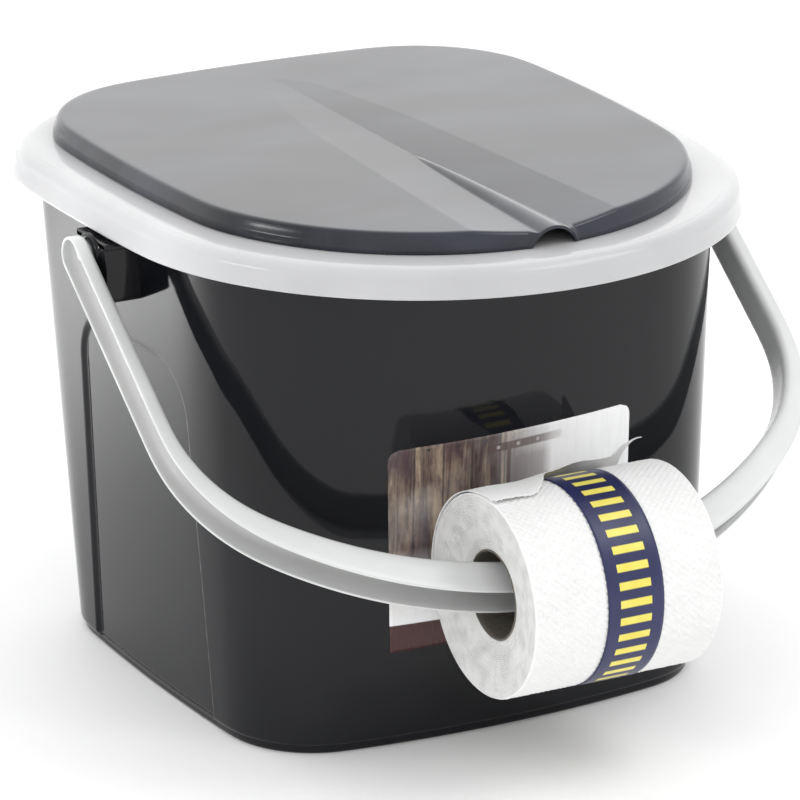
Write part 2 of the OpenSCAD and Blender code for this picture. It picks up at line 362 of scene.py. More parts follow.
def paper_material(name, colour, layered=False):
    """Soft paper; layered draws the turns of the winding round the roll's axis."""
    s = Shader(name)
    tone = np.array(colour)
    fibre = s.noise(700, 6, 0.7)
    cloud = s.noise(60, 3)
    base = s.mix(s.span(cloud, 0.3, 0.7), tone * 0.97, tone * 1.01)
    base = s.mix(s.span(fibre, 0.5, 0.75, 0, 0.25), base, tone * 0.9)
    normal = s.bump(fibre, 0.0003, 0.5)
    if layered:
        _, y, z = s.split()
        dy, dz = s.maths("SUBTRACT", y, ROLL_Y), s.maths("SUBTRACT", z, ROLL_Z)
        radius = s.maths("SQRT", s.maths("ADD", s.maths("POWER", dy, 2.0), s.maths("POWER", dz, 2.0)))
        angle = s.maths("ARCTAN2", dz, dy)
        wobble = s.span(s.noise(70, 3), 0, 1, -0.0012, 0.0012)
        turns = s.maths("ADD", s.maths("ADD", radius, wobble), s.maths("MULTIPLY", angle, 0.00012))
        layer = s.maths("SINE", s.maths("MULTIPLY", turns, 6500.0))
        broad = s.maths("SINE", s.maths("MULTIPLY", turns, 1500.0))
        mask = s.span(s.noise(110, 4), 0.4, 0.65)
        line = s.maths("MULTIPLY", layer, mask)
        base = s.mix(s.span(line, 0.1, 1, 0, 0.16), base, tone * 0.72)
        base = s.mix(s.span(broad, 0.2, 1, 0, 0.08), base, tone * 0.8)
        normal = s.bump(line, 0.0004, 0.6, normal)
    s.set(Base_Color=base, Roughness=s.span(fibre, 0, 1, 0.82, 0.98), Normal=normal)
    s.bsdf.inputs["Subsurface Weight"].default_value = 0.15
    s.bsdf.inputs["Subsurface Radius"].default_value = (0.002, 0.002, 0.002)
    s.bsdf.inputs["Subsurface Scale"].default_value = 1.0
    s.bsdf.inputs["Sheen Weight"].default_value = 0.2
    return s.material


PAPER = paper_material("tissue", (0.85, 0.85, 0.845))
PAPER_END = paper_material("tissue_end", (0.70, 0.70, 0.69), layered=True)


def core_material():
    """Cardboard with the dark spiral seam of a wound tube: 22 turns a metre. Its tones are darkened as
    painted shade for the inside of the tube.
    """
    s = Shader("cardboard")
    x, y, z = s.split()
    fibre = s.noise(500, 5, 0.7, s.stretch((0.4, 1, 1)))
    # Cardboard tones set well below real cardboard: painted shade for the inside of the tube, with real
    # fibre variation.
    base = s.mix(s.span(fibre, 0.3, 0.7), (0.10, 0.09, 0.075), (0.16, 0.145, 0.12))
    dy, dz = s.maths("SUBTRACT", y, ROLL_Y), s.maths("SUBTRACT", z, ROLL_Z)
    angle = s.maths("ARCTAN2", dz, dy)
    turn = s.maths("ADD", s.maths("MULTIPLY", x, 22.0), s.maths("MULTIPLY", angle, TURNS_PER_RADIAN))
    seam = s.span(s.maths("FRACT", turn), 0.0, 0.03, 1, 0)
    base = s.mix(s.maths("MULTIPLY", seam, 0.6), base, (0.10, 0.08, 0.06))
    s.set(Base_Color=base, Roughness=s.span(fibre, 0, 1, 0.8, 0.95), Normal=s.bump(fibre, 0.0003, 0.6))
    return s.material


def box_mask(s, value, low, high, soft):
    """1 where value lies between low and high."""
    up = s.span(value, low - soft, low + soft)
    down = s.span(value, high - soft, high + soft, 1, 0)
    return s.maths("MULTIPLY", up, down)


BAND_BARS = 36.0


def band_material(middle, width):
    """A navy wrapper with plain yellow bars across it; middle and width are along x."""
    s = Shader("wrapper_print")
    x, y, z = s.split()
    dy, dz = s.maths("SUBTRACT", y, ROLL_Y), s.maths("SUBTRACT", z, ROLL_Z)
    angle = s.maths("ARCTAN2", dy, dz)
    across = s.maths("SUBTRACT", x, middle / 1000)
    navy = s.mix(s.span(s.noise(40, 3), 0.3, 0.7), (0.013, 0.016, 0.070), (0.020, 0.024, 0.095))
    yellow = s.mix(s.span(s.noise(120, 3), 0.3, 0.7), (0.80, 0.68, 0.10), (0.86, 0.76, 0.16))
    turn = s.maths("MULTIPLY", s.maths("ADD", angle, math.pi), TURNS_PER_RADIAN)
    cell = s.maths("FRACT", s.maths("MULTIPLY", turn, BAND_BARS))
    bar = s.maths("MULTIPLY", box_mask(s, cell, 0.28, 0.72, 0.03),
                  box_mask(s, across, -width * 0.00028, width * 0.00028, 0.0001))
    base = s.mix(bar, navy, yellow)
    crease = s.noise(55, 4, 0.6)
    s.set(Base_Color=base, Roughness=s.span(crease, 0.3, 0.7, 0.30, 0.42),
          Normal=s.bump(crease, 0.0008, 0.35))
    return s.material


def label_material(lo, hi):
    """Printed film: planks at the left that fade to white, a strap with rivets, a red foot stripe.

    u runs from 0 at the left edge to 1 at the right, and v from 0 at the foot to 1 at the top.
    """
    s = Shader("label_print")
    x, _, z = s.split()
    u = s.span(x, lo[0] / 1000, hi[0] / 1000)
    v = s.span(z, lo[2] / 1000, hi[2] / 1000)
    grain = s.noise(2.2, 8, 0.65, s.stretch((60, 60, 5)), 0.8)
    planks = s.maths("MULTIPLY", u, 9.0)
    plank = s.maths("FRACT", planks)
    number = s.maths("FLOOR", planks)
    tint = s.add("ShaderNodeTexWhiteNoise", noise_dimensions="1D")
    s.link(number, tint.inputs["W"])
    wood = s.mix(s.span(grain, 0.42, 0.60), (0.022, 0.012, 0.012), (0.50, 0.39, 0.27))
    wood = s.mix(s.span(tint.outputs["Value"], 0, 1, 0, 0.45), wood, (0.16, 0.10, 0.09))
    stain = s.span(s.noise(34, 6, 0.7, s.stretch((1, 1, 0.35))), 0.46, 0.58, 0, 0.85)
    wood = s.mix(stain, wood, (0.055, 0.025, 0.035))
    gap = s.maths("SUBTRACT", 1.0, box_mask(s, plank, 0.035, 0.965, 0.02))
    wood = s.mix(s.maths("MULTIPLY", gap, 0.8), wood, (0.03, 0.02, 0.02))
    knots = s.span(s.spots(16, s.stretch((1, 1, 0.55))), 0.10, 0.04)
    wood = s.mix(s.maths("MULTIPLY", knots, 0.7), wood, (0.04, 0.025, 0.02))
    nail = s.maths("MULTIPLY", box_mask(s, plank, 0.42, 0.54, 0.03), box_mask(s, v, 0.945, 0.957, 0.004))
    wood = s.mix(nail, wood, (0.03, 0.03, 0.03))
    cloud = s.span(s.noise(26, 4), 0.3, 0.7, -0.06, 0.06)
    frost = s.maths("ADD", s.span(v, 0.48, 0.12), s.maths("MULTIPLY", cloud, 2.5))
    fade = s.maths("ADD", s.span(u, 0.42, 0.66), cloud)
    fade = s.maths("MAXIMUM", fade, frost)
    fade = s.maths("MINIMUM", s.maths("MAXIMUM", fade, 0.0), 1.0)
    tilt = s.maths("ADD", v, s.maths("MULTIPLY", u, -0.06))
    strap = s.maths("MULTIPLY", box_mask(s, u, 0.40, 0.70, 0.004),
                    box_mask(s, tilt, 0.865, 0.905, 0.004))
    strap = s.maths("MULTIPLY", strap, s.span(u, 0.72, 0.60))
    post = s.maths("MULTIPLY", box_mask(s, u, 0.472, 0.488, 0.003),
                   box_mask(s, v, 0.60, 0.90, 0.004))
    shade = s.maths("MULTIPLY", box_mask(s, u, 0.49, 0.64, 0.02), box_mask(s, v, 0.62, 0.88, 0.03))
    white = s.mix(s.span(s.noise(22, 4), 0.3, 0.7), (0.93, 0.94, 0.95), (0.98, 0.98, 0.98))
    base = s.mix(fade, wood, white)
    base = s.mix(s.maths("MULTIPLY", shade, 0.55), base, (0.16, 0.12, 0.12))
    base = s.mix(s.maths("MULTIPLY", s.maths("MAXIMUM", strap, post), 0.8), base, (0.12, 0.085, 0.08))
    pitch = s.maths("FRACT", s.maths("MULTIPLY", u, 12.5))
    rivets = s.maths("MULTIPLY", box_mask(s, pitch, 0.40, 0.54, 0.05),
                     box_mask(s, tilt, 0.878, 0.893, 0.003))
    base = s.mix(s.maths("MULTIPLY", rivets, strap), base, (0.55, 0.53, 0.52))
    stripe = s.span(v, 0.103, 0.099)
    base = s.mix(stripe, base, (0.055, 0.012, 0.012))
    s.set(Base_Color=base, Roughness=s.span(grain, 0.3, 0.7, 0.22, 0.32),
          Normal=s.bump(s.noise(300, 2), 0.00003))
    return s.material


# ------------------------------------------------------------------ bucket

FOOT_HEIGHT = 5.0
FOOT_STEP = 2.0
STEP_RISE = 2.2
WALL = 2.8
RIM_Z = BUCKET_HI[2]
PANEL_LOW, PANEL_HIGH, PANEL_TOP, PANEL_CORNER = 67.0, 57.0, 190.0, 30.0
PANEL_DEPTH = 2.2
PANEL_EDGE = 3.4


def side_weight(points):
    """More points along the flat of each side wall, where the sunk panel is."""
    side = smooth(np.abs(points[:, 0]), 100, 125) * smooth(np.abs(points[:, 1]), 90, 78)
    return 1 + 1.3 * side


FOOT = resample(full_outline(132.5, 130, 130, 0, (580, 580), (48, 48), 1230), side_weight, 760, 4)
RIM = resample(full_outline(151, 140, 163, 9, (366, 405), (81, 72), 820), side_weight, 760, 6)


def wall_at(z, inset=0.0):
    """The body's outline at heights z, moved in by inset, and its outward directions: rows of points."""
    low = FOOT + normals(FOOT) * FOOT_STEP
    t = ((np.atleast_1d(z) - FOOT_HEIGHT) / (RIM_Z - FOOT_HEIGHT))[:, None, None]
    plan = (1 - t) * low + t * RIM
    facing = (1 - t) * normals(FOOT) + t * normals(RIM)
    return plan - facing * np.reshape(inset, (-1, 1, 1)), facing


def panel_depth(y, z):
    """How deep the side panel is sunk at a point of the side wall."""
    height = np.clip((z - FOOT_HEIGHT) / (PANEL_TOP - FOOT_HEIGHT), 0, 1)
    half = PANEL_LOW + (PANEL_HIGH - PANEL_LOW) * height
    wide, up = np.abs(y) - (half - PANEL_CORNER), z - (PANEL_TOP - PANEL_CORNER)
    inside = np.minimum(half - np.abs(y), PANEL_TOP - z)
    round_off = PANEL_CORNER - np.hypot(np.maximum(wide, 0), np.maximum(up, 0))
    inside = np.where((wide > 0) & (up > 0), round_off, inside)
    return PANEL_DEPTH * smooth(inside, 0, PANEL_EDGE)


def bucket():
    """The shell in one skin: under the foot, up the outside, over the rim and down the inside."""
    rows = np.r_[
        np.arange(FOOT_HEIGHT + STEP_RISE, 140, 2.2),
        np.arange(140, 200, 0.9),
        np.arange(200, RIM_Z - 4, 3.0),
    ]
    plan, facing = wall_at(rows)
    z = np.broadcast_to(rows[:, None], plan.shape[:2])
    side = smooth(np.abs(facing[..., 0]), 0.75, 0.93)
    depth = panel_depth(plan[..., 1], z) * side
    plan = plan - facing * depth[..., None]
    body = [np.c_[p, h] for p, h in zip(plan, z)]
    low = []
    for inset, height in ((6, 1.2), (5.4, 0.4), (4.6, 0), (1.6, 0), (0.7, 0.3), (0.25, 1.0), (0, 2.0),
                          (0, 4.0)):
        low.append(flat_ring(FOOT - normals(FOOT) * inset, height))
    start = body[0][:, :2]
    for turn in (0, 25, 50, 75):
        a = math.radians(turn)
        inset = FOOT_STEP * (1 - math.sin(a))
        height = FOOT_HEIGHT - 0.6 + STEP_RISE * (1 - math.cos(a))
        low.append(flat_ring(start - normals(FOOT) * inset, height))
    (rim_plan,), (rim_facing,) = wall_at([RIM_Z])
    top = []
    for out, height in ((0, -4.2), (2.4, -4.0), (3, -3.5), (3, -0.6), (2.6, -0.1), (2, 0)):
        top.append(flat_ring(rim_plan + rim_facing * out, RIM_Z + height))
    for inset, height in ((1.8, 0), (2.5, -0.3), (WALL, -1.2)):
        top.append(flat_ring(rim_plan - rim_facing * inset, RIM_Z + height))
    inner_rows = np.r_[
        np.arange(RIM_Z - 6, 200, -6.0),
        np.arange(200, 150, -1.8),
        np.arange(150, 18, -6.0),
    ]
    inner, inner_facing = wall_at(inner_rows, WALL)
    inner_z = np.broadcast_to(inner_rows[:, None], inner.shape[:2])
    inner_side = smooth(np.abs(inner_facing[..., 0]), 0.75, 0.93)
    inner = inner - inner_facing * (panel_depth(inner[..., 1], inner_z - 3) * inner_side)[..., None]
    inside = [np.c_[p, h] for p, h in zip(inner, inner_z)]
    last = inner[-1]
    for inset, height in ((0.6, 14), (2.0, 11), (4.5, 9.4), (8, 9), (40, 9)):
        inside.append(flat_ring(last - normals(FOOT) * inset, height))
    loft("bucket_shell", low + body + top + inside, "bucket", "bucket_body", (True, True),
         stands_for=("bucket",), material=BUCKET_SKIN)


def rounded_rectangle(y0, y1, z0, z1, radius, count):
    """Points (y, z) round a rectangle with rounded corners, counterclockwise seen from +x."""
    corners = ((y1 - radius, z1 - radius, 0), (y0 + radius, z1 - radius, 1),
               (y0 + radius, z0 + radius, 2), (y1 - radius, z0 + radius, 3))
    parts = [arc((y, z), radius, k * math.pi / 2, (k + 1) * math.pi / 2, 9) for y, z, k in corners]
    loop = np.concatenate(parts)
    loop = np.r_[loop, loop[:1]]
    run = np.r_[0, np.cumsum(np.hypot(*np.diff(loop, axis=0).T))]
    where = np.linspace(0, run[-1], count, endpoint=False)
    return np.c_[np.interp(where, run, loop[:, 0]), np.interp(where, run, loop[:, 1])]


BEARING_HALF_WIDTH = 16.5
BEARING_HEIGHT = 30.5
BEARING_ROOT_X = 146.0
BORE_RADIUS = 6.06
BORE_DEPTH = 14


def bearings():
    """The box each pin turns in, with its bore, a hub ring round it and a ledge along the top."""
    count, ledge_count = 96, 64
    y0, y1 = PIVOT[1] - BEARING_HALF_WIDTH, PIVOT[1] + BEARING_HALF_WIDTH
    z1 = SEAT_LO[2] - 0.6
    z0 = z1 - BEARING_HEIGHT
    face_x = BUCKET_HI[0]
    outer = rounded_rectangle(y0, y1, z0, z1, 1.6, count)
    middle = np.array([PIVOT[1], PIVOT[2]])
    away = outer - middle
    angle = np.arctan2(away[:, 1], away[:, 0])

    def circle(radius):
        return middle + radius * np.c_[np.cos(angle), np.sin(angle)]

    def shrink(amount):
        return middle + away * (1 - amount / np.hypot(*away.T)[:, None])

    profile = [(BEARING_ROOT_X, outer), (face_x - 1.2, outer), (face_x - 0.4, shrink(0.35)),
               (face_x, shrink(1.1)), (face_x, circle(10.6)), (face_x + 1.5, circle(10.3)),
               (face_x + 1.9, circle(9.8)), (face_x + 1.9, circle(6.5)),
               (face_x + 1.5, circle(BORE_RADIUS)), (face_x - BORE_DEPTH, circle(BORE_RADIUS))]
    for sign, name in ((1, "right"), (-1, "left")):
        rings = [np.c_[np.full(count, sign * x), p] for x, p in profile]
        loft(f"bearing_box_{name}", rings, "bucket", "bucket_body", (False, True), flip=sign < 0,
             material=BUCKET_SKIN)
        rings = []
        for x, g in ((150, 0), (face_x - 0.9, 0), (face_x - 0.3, 0.25), (face_x, 0.8)):
            section = rounded_rectangle(y0 - 0.4 + g, y1 + 0.4 - g, z1 - 3.4 + g, z1 - g, 1.0,
                                        ledge_count)
            rings.append(np.c_[np.full(ledge_count, sign * x), section])
        loft(f"bearing_ledge_{name}", rings, "bucket", "bucket_body", (False, True), flip=sign < 0,
             material=BUCKET_SKIN)


LABEL_TILT = 3.5
LABEL_CORNER = 6.0
LABEL_FILM = 0.28


def label():
    """The printed film, laid on the front wall and a little askew."""
    columns, rows = 90, 70
    height = LABEL_HI[2] - LABEL_LO[2]
    zs = np.linspace(LABEL_LO[2], LABEL_HI[2], rows)
    front = FOOT[:, 1] < -60
    plan, _ = wall_at(zs)
    slope = (plan[-1, front, 1].min() - plan[0, front, 1].min()) / -height
    points = []
    for lift in (0.0, LABEL_FILM):
        for k, z in enumerate(zs):
            over = max(0.0, z - (LABEL_HI[2] - LABEL_CORNER))
            pull = LABEL_CORNER - math.sqrt(max(0.0, LABEL_CORNER**2 - over**2))
            left = LABEL_LO[0] + 1.5 + 3.0 * (LABEL_HI[2] - z) / height
            xs = np.linspace(left + pull, LABEL_HI[0] - pull, columns)
            drop = LABEL_TILT * (LABEL_HI[0] - xs) / (LABEL_HI[0] - left)
            edge = plan[k][front]
            order = np.argsort(edge[:, 0])
            ys = np.interp(xs, edge[order, 0], edge[order, 1]) - 0.05 - lift
            points.append(np.c_[xs, ys + slope * drop, z - drop])
    mesh("front_label", np.concatenate(points), sheet_faces(rows, columns), "label", "bucket_body",
         ("label",), label_material(LABEL_LO, LABEL_HI))


# ------------------------------------------------------------- seat and lid


def lid_weight(points):
    """More points round the mouth of the finger tunnel."""
    mouth = smooth(points[:, 1], -150, -158) * smooth(np.abs(points[:, 0]), 17, 15)
    return 1 + 4.5 * mouth


LID_PLAN = resample(full_outline(139.5, 168, 158.5, 34, (139, 774), (89, 73), 979), lid_weight, 900, 6)
SEAT_PLAN = resample(full_outline(165, 193, 187.5, 34, (166, 232), (147, 100), 1300), None, 900, 8)


def aligned(points, target):
    """points resampled so that each lies at the same angle about the middle as target's."""
    a = np.unwrap(np.arctan2(*points.T[::-1]))
    b = np.unwrap(np.arctan2(*target.T[::-1]))
    a3 = np.r_[a - 2 * math.pi, a, a + 2 * math.pi]
    p3 = np.r_[points, points, points]
    return np.c_[np.interp(b, a3, p3[:, 0]), np.interp(b, a3, p3[:, 1])]


OPENING_INSET = 38
SHOULDER_INSET = 9.8
RIM_RADIUS = 5


def seat():
    """The ring in one loop: up the skirt, over the top, down the opening's lip and back underneath."""
    out = normals(SEAT_PLAN)
    top_z, low_z = SEAT_HI[2], SEAT_LO[2] + 1.5
    rings = []

    def outer(inset, z):
        rings.append(flat_ring(SEAT_PLAN - out * inset, z))

    for inset, up in ((3.0, 0.9), (2.7, 0.25), (2.0, 0), (0.9, 0), (0.3, 0.25), (0.05, 0.8), (0.1, 1.6),
                      (0.9, 5.0), (1.6, 7.6)):
        outer(inset, low_z + up)
    for turn in np.linspace(6, 90, 13):
        a = math.radians(turn)
        outer(1.7 + 7.4 * (1 - math.cos(a)), low_z + 7.9 + (top_z - 0.15 - low_z - 7.9) * math.sin(a))
    outer(9.3, top_z - 0.05)
    outer(SHOULDER_INSET, top_z)
    hole = aligned(LID_PLAN - normals(LID_PLAN) * OPENING_INSET, SEAT_PLAN)
    hole_out = normals(hole)
    wide = SEAT_PLAN - out * SHOULDER_INSET
    rim = hole + hole_out * RIM_RADIUS
    for t in (0.15, 0.3, 0.5, 0.7, 0.85, 1.0):
        rings.append(flat_ring(wide * (1 - t) + rim * t, top_z))
    for turn in np.linspace(0, 90, 9)[1:]:
        a = math.radians(turn)
        grow, down = RIM_RADIUS * (1 - math.sin(a)), RIM_RADIUS * (1 - math.cos(a))
        rings.append(flat_ring(hole + hole_out * grow, top_z - down))
    for grow, down in ((0, 10), (0, 15.0), (0.4, 15.7), (1.2, 16), (2.2, 15.8), (2.8, 15.2), (3.0, 12),
                       (3.2, 6.5), (5, 4.0), (8, 3.6)):
        rings.append(flat_ring(hole + hole_out * grow, top_z - down))
    for t in (0.4, 1.0):
        between = (hole + hole_out * 8) * (1 - t) + (SEAT_PLAN - out * 12) * t
        rings.append(flat_ring(between, top_z - 3.6))
    for inset, down in ((7, 4.6), (4.2, 7), (3.2, 10)):
        outer(inset, top_z - down)
    loft("seat_ring", rings, "seat", "seat_ring", loop=True, stands_for=("seat",), material=SEAT_SKIN)


MOUTH_Y = LID_LO[1]
TIP_Y = -34.0
LID_BASE = SEAT_HI[2]
LID_TOP = LID_HI[2]
VALLEY_DEPTH = 4.0
VALLEY_BACK = 122
VALLEY_RUN = 290
SHELL = 1.6
TUNNEL_SINK = 4.1
TUNNEL_RADIUS = 14.1
TUNNEL_TIP_RADIUS = 1.2


def valley(x, y):
    """How far the lid's top is sunk at (x, y): two flanks that meet in the middle."""
    half = np.interp(y, [-168, -50, 25, 80, 105, 118, VALLEY_BACK], [41, 34, 29, 20, 14, 6, 0.5])
    deep = VALLEY_DEPTH * np.clip((VALLEY_BACK - y) / VALLEY_RUN, 0, 1)
    return deep * np.clip(1 - np.abs(x) / half, 0, 1)


def tunnel(x, y, shrink=0.0):
    """Height of the finger tunnel's round back at (x, y), or far below outside it."""
    t = np.clip((y - MOUTH_Y) / (TIP_Y - MOUTH_Y), 0, 1)
    radius = TUNNEL_TIP_RADIUS + (TUNNEL_RADIUS - TUNNEL_TIP_RADIUS) * (1 - t) ** 0.8 - shrink
    tip_top = LID_TOP - VALLEY_DEPTH * (VALLEY_BACK - TIP_Y) / VALLEY_RUN
    low = LID_BASE - TUNNEL_SINK
    middle = low + (tip_top - 1.3 - low) * t
    inside = (np.abs(x) < radius) & (y < TIP_Y + 1)
    return np.where(inside, middle + np.sqrt(np.clip(radius**2 - x**2, 0, None)), -1e3)


def lid():
    """The lid: its underside, the wall with a lip round the tunnel's mouth, and the top."""
    plan, out = LID_PLAN, normals(LID_PLAN)
    x, y = plan[:, 0], plan[:, 1]
    front = smooth(y, -140, -155)
    base = np.maximum(LID_BASE, np.where(y < -150, tunnel(x, np.full_like(x, MOUTH_Y), SHELL), -1e3))
    crown = LID_TOP - valley(x, y)
    crown = np.maximum(crown, np.where(y < -150, tunnel(x, np.full_like(x, MOUTH_Y)), -1e3))
    span = (crown - base) / (LID_TOP - LID_BASE)
    rings = []
    wall = [(2.2, 0.0), (1.2, 0.0), (0.5, 0.1), (0.12, 0.5), (0, 1.1), (0.1, 2.6), (0.3, 4.2),
            (0.55, 4.9), (0.95, 5.7), (1.6, 7.4), (2.1, 8.8), (2.35, 9.3), (2.75, 9.8), (3.3, 10.15),
            (3.95, 10.38), (4.7, 10.48)]
    for inset, up in wall:
        z = base + up * span
        apart = np.hypot(x, z - (LID_BASE - TUNNEL_SINK))
        near = front * smooth(apart, 17.5, 14.0)
        lip = front * smooth(apart, 14.6, 14.0) * smooth(up, 0.3, 1.0)
        rings.append(np.c_[plan - out * (inset * (1 - near) - 0.6 * lip)[:, None], z])
    edge = rings[-1]
    centre = np.array([0.0, -27.0])
    for s in np.r_[np.linspace(0.99, 0.06, 150), 0.03, 0.008]:
        p = centre + (edge[:, :2] - centre) * s
        top = LID_TOP - valley(p[:, 0], p[:, 1])
        bulge = tunnel(p[:, 0], p[:, 1])
        gap = np.clip(0.5 + 0.5 * (bulge - top) / 0.8, 0, 1)
        height = np.where(bulge > 0, top + (bulge - top) * gap + 0.8 * gap * (1 - gap), top)
        rings.append(np.c_[p, height])
    under = []
    for s in np.r_[0.008, 0.05, np.linspace(0.12, 0.985, 60)]:
        p = centre + (plan - out * 2.4 - centre) * s
        top = LID_TOP - valley(p[:, 0], p[:, 1]) - 2.2
        under.append(np.c_[p, np.maximum(top, tunnel(p[:, 0], p[:, 1], SHELL))])
    under.append(np.c_[plan - out * 2.3, base + 1.0])
    loft("lid_shell", under + rings, "lid", "lid_cover", (True, True), stands_for=("lid",),
         material=LID_SKIN)


def lid_rib():
    """The rib under the lid that drops into the seat's opening."""
    hole = LID_PLAN - normals(LID_PLAN) * (OPENING_INSET + 1)
    out = normals(hole)
    rings = []
    for inset, z in ((0, LID_TOP - 3.4), (0, LID_BASE - 4.6), (0.3, LID_BASE - 5), (1.7, LID_BASE - 5),
                     (2, LID_BASE - 4.6), (2, LID_TOP - 3.4)):
        sunk = valley(hole[:, 0], hole[:, 1]) if z > LID_BASE else 0
        rings.append(flat_ring(hole - out * inset, z - sunk))
    loft("lid_rib", rings, "lid", "lid_cover", loop=True, flip=True, material=LID_SKIN)


# -------------------------------------------------------------------- bail

ARM = 105.0
BAIL_REACH = 239
BAIL_DEPTH = 19
WEB = 2.4
TILT = math.atan2(PIVOT[2] - AXIS[2], PIVOT[1] - AXIS[1])
HALF_SECTION = 9.75
# Rings of the channel that take the painted shade of the recess.
RECESS_SHADE_RINGS = 10
ARM_DEPTH = 8.5
PIN_RADIUS = 6.0
PIN_DEPTH = 13


def bail_curve(half_width, reach, end_radius, corner):
    """The bail's edge in its own plane, from the left pivot round the front to the right one."""
    right = quarter(half_width, reach, end_radius, 6000, corner)
    right = np.c_[right[:, 0], -right[:, 1]]
    arm = np.c_[np.full(30, half_width), np.linspace(4, ARM, 30)]
    right = np.r_[right, arm]
    left = (right * [-1, 1])[::-1][:-1]
    points = np.r_[left, right] - [0, ARM]
    run = np.r_[0, np.cumsum(np.hypot(*np.diff(points, axis=0).T))]
    fine = np.linspace(0, run[-1], 1601)
    even = np.c_[np.interp(fine, run, points[:, 0]), np.interp(fine, run, points[:, 1])]
    kernel = np.exp(-0.5 * (np.arange(-40, 41) / 14) ** 2)
    kernel /= kernel.sum()
    padded = np.r_[2 * even[0] - even[40:0:-1], even, 2 * even[-1] - even[-2:-42:-1]]
    return np.c_[np.convolve(padded[:, 0], kernel, "valid"), np.convolve(padded[:, 1], kernel, "valid")]


def bail():
    """A channel swept round the bail: a web on the inside and a lip along each edge, opening outwards."""
    half_x = BAIL_HI[0]
    reach = BAIL_REACH - ARM
    outer = bail_curve(half_x, reach, 225, 94)
    inner = bail_curve(half_x - ARM_DEPTH, reach - BAIL_DEPTH, 225, 78)[::4]
    ahead = np.gradient(inner, axis=0)
    ahead /= np.hypot(*ahead.T)[:, None]
    facing = np.c_[ahead[:, 1], -ahead[:, 0]]
    width = np.array([np.hypot(*(outer - p).T).min() for p in inner])
    station, direction = [], []
    for k in range(len(inner)):
        station.append(k)
        direction.append((0.0, 1.0))
    round_end = np.linspace(0, 180, 25)[1:-1]
    for a in round_end:
        station.append(len(inner) - 1)
        direction.append((math.sin(math.radians(a)), math.cos(math.radians(a))))
    for k in range(len(inner))[::-1]:
        station.append(k)
        direction.append((0.0, -1.0))
    for a in round_end:
        station.append(0)
        direction.append((-math.sin(math.radians(a)), -math.cos(math.radians(a))))
    station, direction = np.array(station), np.array(direction)
    h, t = HALF_SECTION, WEB
    wide = width[station]

    def ring(out, inset):
        """Points at a distance out from the web's inner face and inset from the band's edge."""
        reach_in = h - inset
        flat = inner[station] + ahead[station] * (direction[:, :1] * reach_in)
        flat = flat + facing[station] * np.reshape(out, (-1, 1))
        up = direction[:, 1] * reach_in
        c, s = math.cos(TILT), math.sin(TILT)
        y, z = flat[:, 1], up
        return np.c_[flat[:, 0], PIVOT[1] + y * c - z * s, PIVOT[2] + y * s + z * c]

    rings = [ring(t, h - 0.05), ring(t, h - 1.5), ring(t + 0.05, t + 4.0), ring(t + 0.35, t + 2.5),
             ring(t + 1.1, t + 1.2), ring(t + 2.2, t + 0.35), ring(t + 3.4, t - 0.1)]
    for share in (0.3, 0.6, 0.8):
        rings.append(ring(t + 3.4 + (wide - t - 4.2) * share, t - 0.1 - 0.6 * share))
    rings += [ring(wide - 0.6, t - 0.8), ring(wide - 0.2, t - 1.0), ring(wide - 0.05, 1.15),
              ring(wide - 0.05, 0.7), ring(wide - 0.3, 0.25), ring(wide - 0.9, 0.03)]
    for share in (0.75, 0.5, 0.25):
        rings.append(ring(3.4 + (wide - 3.4) * share, 0.0))
    rings += [ring(3.1, 0.02), ring(2.5, 0.14), ring(1.4, 0.65), ring(0.55, 1.5), ring(0.12, 2.7),
              ring(0, 4.0), ring(0, 6.5), ring(0, h - 0.05)]
    final = len(inner) - 1
    below = 2 * len(inner) + len(round_end) - 1
    seam = [[k + 1, k, below - k, below - k - 1] for k in range(final)]
    seam.append([*range(below - final, final - 1, -1)])
    seam.append([0, *range(len(station) - 1, below - 1, -1)])
    band = loft("bail_channel", rings, "bail", "bail_arm", flip=True, seam=seam, stands_for=("bail",),
                material=BAIL_SKIN)
    # The channel's recessed faces take the darker copy of the plastic: painted shade in the recess.
    band.data.materials.append(BAIL_RECESS_SHADE)
    recess_shade = np.zeros(len(band.data.polygons), int)
    recess_shade[: RECESS_SHADE_RINGS * len(station)] = 1
    seam_start = (len(rings) - 1) * len(station)
    recess_shade[seam_start: seam_start + len(seam)] = 1
    band.data.polygons.foreach_set("material_index", recess_shade)
    turn = np.linspace(0, 2 * math.pi, 64, endpoint=False)
    tip, web = BUCKET_HI[0] - PIN_DEPTH, half_x - ARM_DEPTH
    pin = ((tip, 4.6), (tip + 0.4, 5.6), (tip + 1.2, PIN_RADIUS), (web - 0.8, PIN_RADIUS),
           (web - 0.2, 6.3), (web + 0.4, 7.0))
    boss = ((web + t - 0.2, 3.6), (web + t + 0.5, 3.4), (web + t + 1.0, 2.9), (web + t + 1.3, 1.8))
    for sign, side in ((1, "right"), (-1, "left")):
        for name, profile, ends in (("pin", pin, (True, False)), ("boss", boss, (False, True))):
            rings = [np.c_[sign * x + 0 * turn, PIVOT[1] + r * np.cos(turn), PIVOT[2] + r * np.sin(turn)]
                     for x, r in profile]
            loft(f"bail_{name}_{side}", rings, "bail", "bail_arm", ends, flip=sign < 0,
                 material=BAIL_SKIN)


# -------------------------------------------------------------------- roll

CORE_RADIUS = (ROLL_HI[2] - ROLL_LO[2]) / 2
ROLL_X0, ROLL_X1 = ROLL_LO[0], ROLL_HI[0]
PAPER_LO, PAPER_HI = cad("roll_paper")
ROLL_RADIUS = (PAPER_HI[2] - PAPER_LO[2]) / 2
SLIP = 5.0
ROLL_COLUMNS = 420
END_RINGS = 34
EMBOSS_LONG, EMBOSS_ROUND = 4.0, 3.7


def about_axis(x, radius, turn):
    """Points at an angle turn from straight up, positive towards the front."""
    return np.stack([x, AXIS[1] - radius * np.sin(turn), AXIS[2] + radius * np.cos(turn)], -1)


